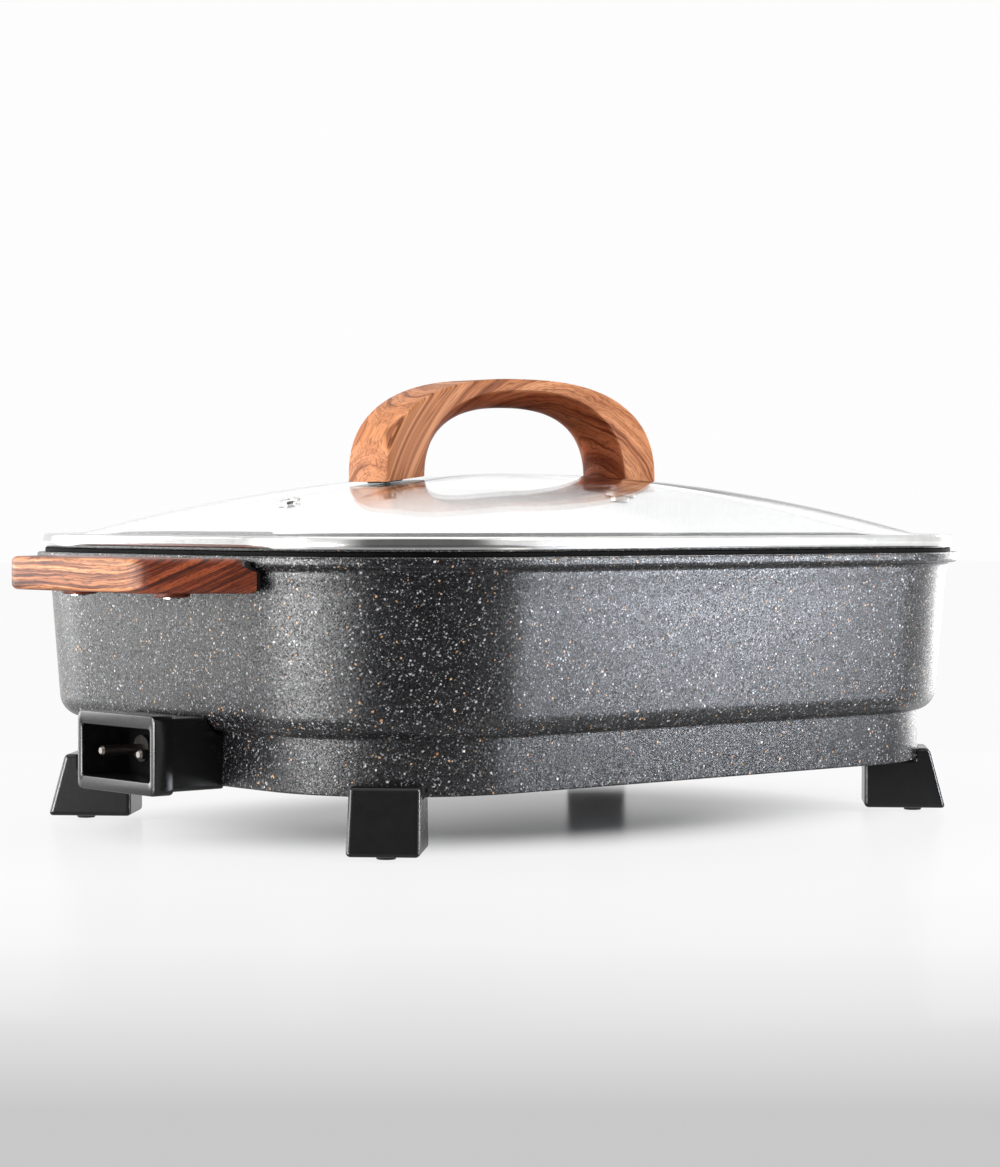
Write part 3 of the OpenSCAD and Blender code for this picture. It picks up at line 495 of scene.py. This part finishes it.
RIB_SECTION = (
    (-RIB_HALF, BASE_Z + SINK), (-RIB_HALF, MID_Z + RIB_EDGE), (-RIB_FLAT, MID_Z),
    (RIB_FLAT, MID_Z), (RIB_HALF, MID_Z + RIB_EDGE), (RIB_HALF, BASE_Z + SINK),
)
route = element_route()
rib = []
for i, (x, y) in enumerate(route):
    before, after = route[max(i - 1, 0)], route[min(i + 1, len(route) - 1)]
    run = Vector((after[0] - before[0], after[1] - before[1])).normalized()
    rib.append([(x - run.y * w, y + run.x * w, z) for w, z in RIB_SECTION])
pan.loops(rib, capped=True)
pan.box((PROBE_PAD_X[0], -PROBE_PAD_HALF, MID_Z), (PROBE_PAD_X[1], PROBE_PAD_HALF, BASE_Z + SINK))
boss_at = FOOT_SCREW_AT * math.sqrt(0.5)
for sx in (-1, 1):
    lug_x0, lug_x1 = sorted(sx * x for x in LUG_X)
    for sy in (-1, 1):
        pan.post(sx * (CX + boss_at), sy * (CY + boss_at), ((BOSS_R, SKIRT_Z), (BOSS_R, BASE_Z + SINK)))
        lug_y = sy * GRIP_SCREW_Y
        pan.box((lug_x0, lug_y - LUG_HALF, LUG_Z[0]), (lug_x1, lug_y + LUG_HALF, LUG_Z[1]))
pan.make("pan_shell", "base", "stone_coating",
         ("pan_body", "base_skirt", "element_rib", "foot_bosses", "left_handle_lugs", "right_handle_lugs"))


# Lid: steel rim, painted shadow band under it, domed glass, arched handle and steam vent

rim_section = (
    arc(RIM_IN + CURL_R, RIM_Z + CURL_R, CURL_R, 270, 180, 12)
    + arc(RIM_IN + 1.5, RIM_TOP - 1.2, 1.4, 180, 98, 6)
    + [(6.2, RIM_TOP + 0.02), (8.0, RIM_TOP - 0.25), (8.5, RIM_TOP - 0.4), (8.5, RIM_TOP - 0.68),
       (5.0, RIM_TOP - 0.72), (3.3, RIM_TOP - RIM_T), (3.3, SHELF_Z), (10.3, SHELF_Z),
       (10.3, FLANGE_Z + 0.2), (10.1, FLANGE_Z), (9.7, FLANGE_Z), (9.5, FLANGE_Z + 0.2), (9.5, RIM_Z)]
)
rim = Shape()
rim.loops([plan_loop(inset, z, RIM_STEPS) for inset, z in rim_section], closed=True)
rim.make("lid_rim_band", "lid", "rim_steel", ("lid_rim",), sharp=50)

# Painted shadow: a thin black band under the rim's curl stands for the shade in the gap between the lid's rim
# and the pan's lip
shadow_band_section = (
    (3.7, 122.05), (3.5, 122.2), (3.5, 123.75), (4.1, 123.35),
    (5.2, 122.85), (6.7, 122.65), (9.2, 122.65), (9.2, 122.05),
)
shadow_band = Shape()
shadow_band.loops([plan_loop(inset, z, RIM_STEPS) for inset, z in shadow_band_section], closed=True)
shadow_band.make("lid_painted_shadow_band", "lid", "heat_guard", material=painted_shadow_black, sharp=50)


def dome_rise(k):
    """Height of the dome over its border at k, from 1 at the edge to 0 in the middle."""
    t = 1 - (k / DOME_EDGE) ** 2
    if t < 0.4:
        t = 0.5 * (t + math.sqrt(t * t + DOME_SOFT * DOME_SOFT))
    return DOME_H * t


def dome_z(x):
    """Height of the glass on the pan's long middle line."""
    return GLASS_TOP + DOME_H * (1 - (x / GLASS_HX / DOME_EDGE) ** 2)


def dome_slope(x):
    return math.atan(2 * DOME_H * x / (DOME_EDGE * GLASS_HX) ** 2)


def glass_ring(k, drop):
    z = GLASS_TOP + dome_rise(k) - drop
    return [(x * k, y * k, z) for x, y, _ in plan_loop(GLASS_IN, 0.0)]


dome_rings = [1.0, 0.985, 0.97, 0.96, 0.95, 0.94, 0.93, 0.92, 0.91, 0.895, 0.875, 0.85, 0.82]
dome_rings += [0.78 - 0.04 * i for i in range(19)]
dome_rings += [0.03]
under = [glass_ring(k, GLASS_T) for k in dome_rings[::-1]]
over = [glass_ring(k, 0.0) for k in dome_rings]
dome = Shape()
dome.loops(under + over, capped=True)
dome.make("lid_dome", "lid", "lid_glass", ("lid_glass",), sharp=60)


def full_curve(v, power):
    return math.copysign(abs(v) ** (2 / power), v)


def curve_normal(p, a, b, power):
    """The outward direction of a full curve with half axes a and b, at p."""
    x = math.copysign((abs(p[0]) / a) ** (power - 1) / a, p[0])
    y = (max(p[1], 0) / b) ** (power - 1) / b
    return Vector((x, y)).normalized()


def arch_section(turn):
    """The arch's section at an angle along it: points in its plane, each with its place across it."""
    a = math.radians(turn)
    c, s = math.cos(a), max(math.sin(a), 0.0)
    if abs(c) < 1e-9:
        c = 0.0
    back = Vector((ARCH_L / 2 * full_curve(c, OUTER_POWER), ARCH_H * full_curve(s, OUTER_POWER)))
    front = Vector((INNER_X * full_curve(c, INNER_POWER), INNER_H * full_curve(s, INNER_POWER)))
    out = curve_normal(back, ARCH_L / 2, ARCH_H, OUTER_POWER)
    inward = -curve_normal(front, INNER_X, INNER_H, INNER_POWER)
    half = ARCH_W / 2
    pts = []
    for side, angles in ((-1, range(0, 91, 18)), (1, range(90, -1, -18))):
        for angle in angles:
            t = math.radians(angle)
            pts.append((back - out * (ARCH_EDGE - ARCH_EDGE * math.sin(t)),
                        side * (half - ARCH_EDGE + ARCH_EDGE * math.cos(t))))
    for i in range(FACE_STEPS + 1):
        y = half - ARCH_W * i / FACE_STEPS
        pts.append((front + inward * SWELL * (1 - (y / half) ** 2), y))
    return pts


arch_z = dome_z(LEG_X) + LEG_GAP
arch_loops = []
for i in range(ARCH_STEPS + 1):
    section = arch_section(180 * i / ARCH_STEPS)
    if i in (0, ARCH_STEPS):
        arch_loops.append([(p.x, y, dome_z(p.x) + LEG_GAP) for p, y in section])
    else:
        arch_loops.append([(p.x, y, arch_z + p.y) for p, y in section])
arch = Shape()
arch.loops(arch_loops, capped=True)
arch.make("lid_arch", "lid", "wood_arch", ("lid_handle",), sharp=42, bevel=(0.5, 2))

# Radius and height over the glass
vent_section = (
    (2.4, -4.9), (2.4, 0.9), (2.7, 1.2), (3.6, 1.25), (4.6, 1.0), (5.0, 0.55), (5.0, 0.15),
    (3.5, 0.15), (3.5, -4.15), (5.0, -4.15), (5.0, -4.8), (4.6, -4.95),
)
tilt_c, tilt_s = math.cos(dome_slope(VENT_X)), math.sin(dome_slope(VENT_X))
vent_loops = []
for r, h in vent_section:
    vent_loops.append([(VENT_X + x * tilt_c + h * tilt_s, y, dome_z(VENT_X) - x * tilt_s + h * tilt_c)
                       for x, y in circle(r, VENT_SIDES)])
vent = Shape()
vent.loops(vent_loops, closed=True)
vent.make("steam_vent", "lid", "rim_steel", ("vent_eyelet",), sharp=50)


# Side handles: layers of the wing's plan, drawn in at the top and bottom edges

def handle_loop(inset, z, steps=12):
    """The wing's outline drawn in by inset and cut off at its inner face, from one end to the other."""
    lean = math.atan2(HALF_ROOT - HALF_OUT, HANDLE_X - ROOT_X)
    turn = math.pi / 2 - lean
    cx, cy = HANDLE_X - HANDLE_R, HALF_OUT - HANDLE_R * math.tan(turn / 2)
    step = min(max((z - STEP_LOW) / (STEP_Z - STEP_LOW), 0.0), 1.0)
    root_x = WALL_X + (LIP_X - WALL_X) * step
    r = HANDLE_R - inset
    angles = [lean + turn * i / steps for i in range(steps + 1)]
    corner = [(cx + r * math.sin(a), cy + r * math.cos(a)) for a in angles]
    start_x, start_y = corner[0]
    half = [(root_x, start_y + (start_x - root_x) * math.tan(lean))] + corner
    return [(x, y, z) for x, y in half] + [(x, -y, z) for x, y in half[::-1]]


edge = []
for angle in range(0, 91, 18):
    a = math.radians(angle)
    edge.append((HANDLE_EDGE * (1 - math.sin(a)), HANDLE_EDGE * (1 - math.cos(a))))
layers = [(inset, HANDLE_Z + rise) for inset, rise in edge]
layers += [(0.0, STEP_LOW), (0.0, (STEP_Z + STEP_LOW) / 2), (0.0, STEP_Z)]
layers += [(inset, HANDLE_TOP - rise) for inset, rise in edge[::-1]]
grip_boss = ((7.0, 104.9), (7.5, 105.4), (7.5, HANDLE_Z + SINK))
for sx, name in ((-1, "left_handle"), (1, "right_handle")):
    wing = Shape()
    wing.loops([[(sx * x, y, z) for x, y, z in handle_loop(inset, z)] for inset, z in layers], capped=True)
    for sy in (-1, 1):
        wing.post(sx * GRIP_SCREW_X, sy * GRIP_SCREW_Y, grip_boss, GRIP_BOSS_SIDES)
    wing.make(name + "_wing", "base", "wood_grip", (name,))


# Feet: slices across the foot, with a lip that follows the skirt

FOOT_SECTION = (
    (FOOT_IN, FOOT_Z), (FOOT_OUT, FOOT_Z), (FOOT_TOP, FOOT_LIP_Z),
    (None, FOOT_LIP_Z), (None, SKIRT_Z), (FOOT_IN, SKIRT_Z),
)
FEET = ((-1, -1, "front_left"), (1, -1, "front_right"), (-1, 1, "rear_left"), (1, 1, "rear_right"))
for sx, sy, name in FEET:
    ca, sa = sx * math.sqrt(0.5), sy * math.sqrt(0.5)
    slices = []
    for i in range(FOOT_SLICES + 1):
        t = -1 + 2 * i / FOOT_SLICES
        loop = []
        for r, z in FOOT_SECTION:
            w = t * (FOOT_HALF - FOOT_TAPER * (z - FOOT_Z) / (FOOT_LIP_Z - FOOT_Z))
            if r is None:
                r = math.sqrt((SKIRT_R + FOOT_GAP) ** 2 - w * w)
            loop.append((sx * CX + ca * r - sa * w, sy * CY + sa * r + ca * w, z))
        slices.append(loop)
    foot = Shape()
    foot.loops(slices, capped=True)
    foot.make("foot_block_" + name, "base", "black_moulding", ("foot_" + name,), bevel=(2.0, 5))


# Control socket: rounded loops from the back of the mouth, out round the collar and back to the skirt

def socket_loop(x, width, bottom, top, r, n=6):
    y = width / 2 - r
    low, high = bottom + r, top - r
    pts = []
    for cy, cz, a0 in ((y, high, 0), (-y, high, 90), (-y, low, 180), (y, low, 270)):
        pts += [(x, py, pz) for py, pz in arc(cy, cz, r, a0, a0 + 90, n)]
    return pts


# Place along the pan, width, bottom, top and corner radius
SOCKET_SECTION = (
    (-193.0, 50.2, 28.4, 49.8, 1.0),
    (-215.8, 50.4, 28.3, 49.9, 1.2),
    (-216.7, 50.8, 28.0, 50.2, 1.5),
    (-217.0, 51.6, 27.6, 50.6, 1.9),
    (-217.0, 56.0, SOCKET_Z + 0.8, SOCKET_TOP - 0.8, 2.2),
    (-216.7, 57.1, SOCKET_Z + 0.25, SOCKET_TOP - 0.25, 2.5),
    (-216.0, 57.6, SOCKET_Z, SOCKET_TOP, 2.7),
    (-207.8, 57.6, SOCKET_Z, SOCKET_TOP, 2.7),
    (-207.2, 57.2, SOCKET_Z + 0.2, SOCKET_TOP - 0.2, 2.6),
    (-207.0, 56.4, SOCKET_Z + 0.6, SOCKET_TOP - 0.6, 2.4),
    (-207.0, 55.0, SOCKET_Z + 1.3, SOCKET_TOP - 1.3, 2.0),
    (-191.6, 55.0, SOCKET_Z + 1.3, SOCKET_TOP - 1.3, 2.0),
    (-189.6, 55.0, SOCKET_Z + 1.3, SOCKET_TOP - 1.7, 2.0),
    (-188.0, 55.0, SOCKET_Z + 1.3, 51.3, 2.0),
    (-186.0, 55.0, SOCKET_Z + 1.3, 49.4, 2.0),
    (-184.0, 55.0, SOCKET_Z + 1.3, 48.3, 2.0),
    (-181.05, 55.0, SOCKET_Z + 1.3, 47.6, 2.0),
)
socket = Shape()
socket.loops([socket_loop(*row) for row in SOCKET_SECTION], capped=True)
socket.make("control_socket", "base", "black_moulding", ("socket_shroud", "terminal_block"))


# Camera, floor and light, in metres

camera = bpy.data.objects.new("camera", bpy.data.cameras.new("camera"))
bpy.context.collection.objects.link(camera)
camera.data.sensor_width = 36.0
camera.data.lens = 93.1
camera.data.clip_end = 60.0
camera.location = (-0.9219, -1.0571, 0.1399)
camera.rotation_euler = (math.radians(90 - 1.347), math.radians(-0.107), math.radians(-40.97))
scene = bpy.context.scene
scene.camera = camera
scene.view_settings.view_transform = "Standard"

FLOOR_HALF = 6
# Directions along the floor: away from the photo's viewpoint, and to the dark side of the studio
VIEW_X, VIEW_Y = 0.656, 0.755
# Towards this side the floor is painted dark where it is seen in reflections
DARK_X, DARK_Y = -0.40, -0.917
# Half axes of the oval under the pan that takes its shadow
SHADOW_X, SHADOW_Y = 0.170, 0.118


def floor_material():
    """Glowing white away from the pan, with painted shade that darkens it towards the viewpoint, lit and
    shaded under it, and painted dark in part where it is seen in reflections.
    """
    m = Nodes(bpy.data.materials.new("floor_white"))
    p = m.coords()
    x, y, _ = m.split(p)

    def along(dx, dy):
        return m.math("ADD", m.math("MULTIPLY", x, dx), m.math("MULTIPLY", y, dy))

    mottle = m.noise(p, 3.0, 2.0)
    m.shader(Base_Color=m.ramp(mottle, (0.3, grey(0.67)), (0.7, grey(0.69))),
             Roughness=0.20, Specular_IOR_Level=0.5)
    depth = along(VIEW_X, VIEW_Y)
    reach = m.math("SQRT", m.math("ADD", m.math("MULTIPLY", x, x), m.math("MULTIPLY", y, y)))
    oval_x = m.math("POWER", m.math("DIVIDE", x, SHADOW_X), 2.0)
    oval_y = m.math("POWER", m.math("DIVIDE", y, SHADOW_Y), 2.0)
    oval = m.math("SQRT", m.math("ADD", oval_x, oval_y))
    behind = m.span(depth, 0.06, 0.42)
    beside = m.span(oval, 0.58, 1.36, 0.0, 0.88)
    outer = m.span(reach, 0.42, 0.62)
    white = m.math("MAXIMUM", m.math("MAXIMUM", behind, beside), outer)
    # Painted shade: away from the pan the floor glows, darker towards the viewpoint
    front = m.span(depth, -0.70, -0.28, kind="LINEAR")
    glow = m.glow(m.ramp(front, (0.0, grey(0.58)), (0.17, grey(0.70)), (0.40, grey(0.82)),
                         (0.65, grey(0.92)), (1.0, grey(0.955))))
    plain = m.mix_shader(white, m.bsdf.outputs[0], glow)

    mirrored = m.add("ShaderNodeLightPath").outputs["Is Glossy Ray"]
    # Painted reflection: where the floor is seen in reflections, it is painted dark grey towards the dark
    # side and, in part, close to the pan
    facing = m.math("DIVIDE", along(DARK_X, DARK_Y), reach)
    painted_dark_side = m.math("MULTIPLY", m.span(facing, 0.60, 0.84, 0.0, 0.97), m.span(reach, 0.28, 0.55, 0.55, 1.0))
    painted_reflection_dark = m.math("MAXIMUM", painted_dark_side, m.span(reach, 0.30, 0.50, 0.48, 0.08))
    painted_dark_glow = m.glow((0.05, 0.05, 0.055, 1.0))
    seen = m.mix_shader(m.math("MULTIPLY", mirrored, painted_reflection_dark), plain, painted_dark_glow)
    polish = m.add("ShaderNodeBsdfPrincipled")
    m.set(polish, Base_Color=(0.0, 0.0, 0.0, 1.0), Roughness=0.16, Specular_IOR_Level=0.5)
    polished = m.fill(m.add("ShaderNodeAddShader"), seen, polish.outputs[0])
    shown = m.mix_shader(m.math("MULTIPLY", mirrored, 0.65), seen, polished)
    m.set(m.tree.nodes["Material Output"], Surface=shown)
    return m.owner


floor_mesh = bpy.data.meshes.new("floor")
floor_mesh.from_pydata([(-FLOOR_HALF, -FLOOR_HALF, 0), (FLOOR_HALF, -FLOOR_HALF, 0),
                        (FLOOR_HALF, FLOOR_HALF, 0), (-FLOOR_HALF, FLOOR_HALF, 0)], [], [(0, 1, 2, 3)])
floor = bpy.data.objects.new("floor", floor_mesh)
bpy.context.collection.objects.link(floor)
floor_mesh.materials.append(floor_material())


def studio_world():
    """A white room with one dark side, plain white to the eye and through the glass."""
    w = Nodes(bpy.data.worlds.new("studio"))
    path = w.add("ShaderNodeLightPath").outputs
    towards = w.add("ShaderNodeVectorMath", operation="DOT_PRODUCT")
    w.fill(towards, w.add("ShaderNodeTexCoord").outputs["Generated"], (-0.50, -0.866, 0.03))
    room = w.span(towards.outputs["Value"], 0.66, 0.88, 0.95, 0.15)
    through = w.choose(path["Is Transmission Ray"], room, 1.41)
    strength = w.choose(path["Is Camera Ray"], through, 0.985)
    w.set(w.tree.nodes["Background"], Color=(1.0, 1.0, 1.0, 1.0), Strength=strength)
    return w.owner


scene.world = studio_world()

COOL, PALE_COOL, PALE_WARM = (0.85, 0.90, 1.0), (0.92, 0.96, 1.0), (1.0, 0.96, 0.90)


def softbox(name, place, target, size, power, colour=WHITE):
    data = bpy.data.lights.new(name, "AREA")
    data.shape = "RECTANGLE"
    data.size, data.size_y = size
    data.energy = power
    data.color = colour
    lamp = bpy.data.objects.new(name, data)
    bpy.context.collection.objects.link(lamp)
    lamp.location = place
    lamp.visible_camera = False
    lamp.rotation_euler = (Vector(target) - Vector(place)).to_track_quat("-Z", "Y").to_euler()


softbox("softbox_right", (0.335, -0.50, 0.100), (0.0, -0.15, 0.09), (0.045, 0.20), 1.75, COOL)
softbox("wide_right", (0.603, -0.751, 0.23), (0.0, -0.1, 0.08), (0.22, 0.46), 0.15, PALE_COOL)
softbox("softbox_left", (-0.87, 0.23, 0.24), (-0.2, -0.05, 0.08), (0.46, 0.48), 6.1)
softbox("wide_left", (-0.50, 0.88, 0.26), (-0.2, 0.0, 0.08), (0.44, 0.52), 4.0)
softbox("low_left", (-1.20, -0.05, 0.045), (-0.15, -0.10, 0.04), (0.66, 0.07), 5.0)
softbox("strip_right", (0.95, 0.10, 0.22), (0.2, -0.1, 0.08), (0.30, 0.44), 3.0)
softbox("front_high", (0.45, -0.95, 0.62), (0.0, 0.0, 0.17), (0.40, 0.30), 7.6, PALE_WARM)
softbox("softbox_top", (0.1, 0.1, 1.9), (0.0, 0.0, 0.1), (2.2, 2.2), 10)
